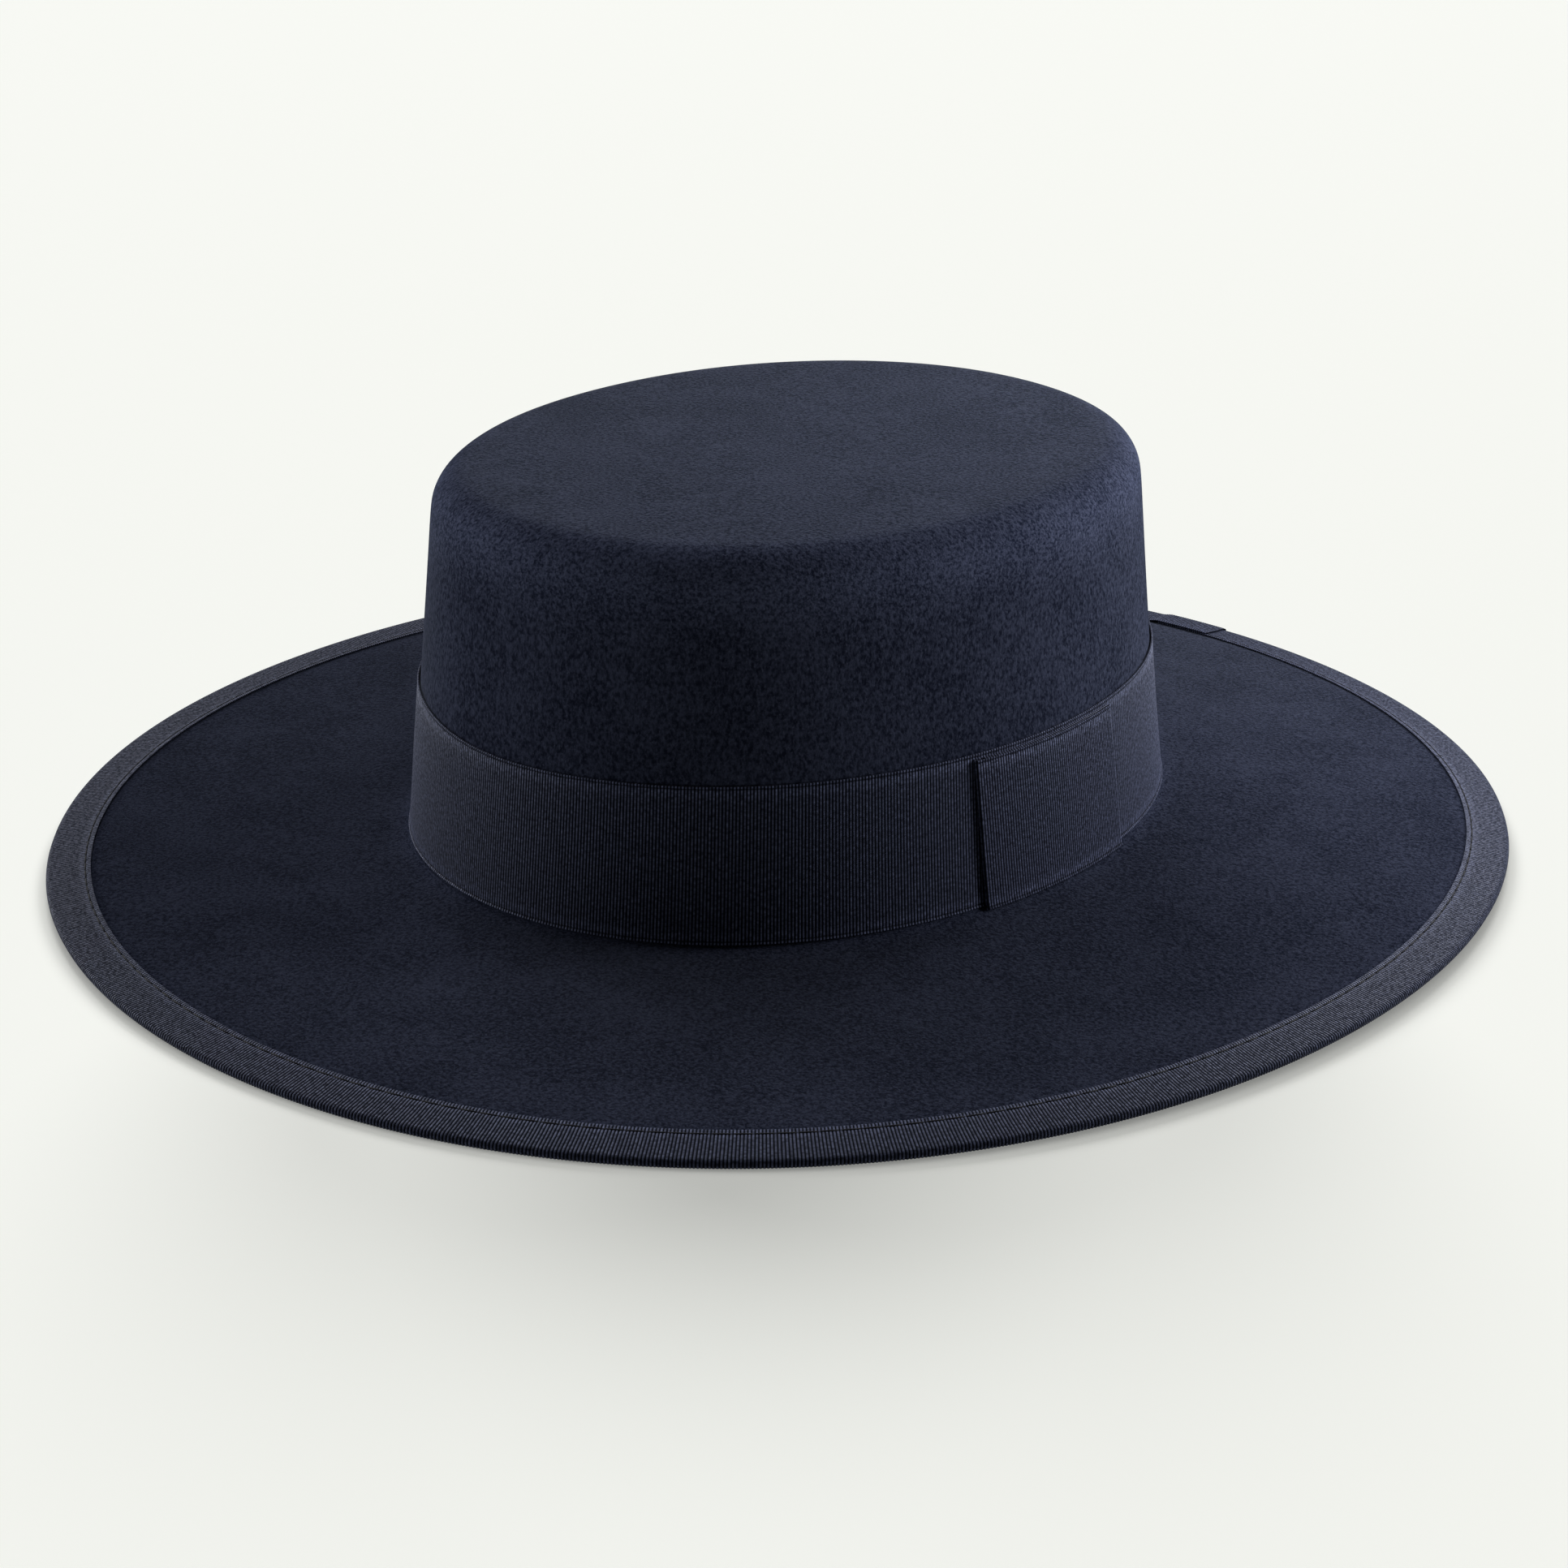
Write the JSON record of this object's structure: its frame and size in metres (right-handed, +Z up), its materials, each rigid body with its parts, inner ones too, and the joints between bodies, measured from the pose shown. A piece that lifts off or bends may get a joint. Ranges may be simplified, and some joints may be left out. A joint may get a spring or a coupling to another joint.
{
  "type": "gaucho hat",
  "caption": "Stiff felt hat with a flat-topped oval crown, a flat round brim, a ribbon band with a flat side bow and a ribbon-bound brim edge.",
  "frame": {"origin": "on the surface that the hat rests on, under the centre of the brim", "axes": "+Z up through the crown, -Y towards the hat's front, +X towards the wearer's left"},
  "size_m": [0.3486, 0.3807, 0.0985],
  "materials": {
    "felt": "matt dark navy felt with a fine short nap",
    "band_ribbon": "upright ribbed ribbon with a low silky sheen",
    "binding_ribbon": "ribbed ribbon with a low silky sheen, ribs across its width"
  },
  "bodies": {
    "root": {"felt_body": "felt", "hat_band": "band_ribbon", "band_bow": "band_ribbon", "brim_binding": "binding_ribbon"}
  },
  "joints": []
}
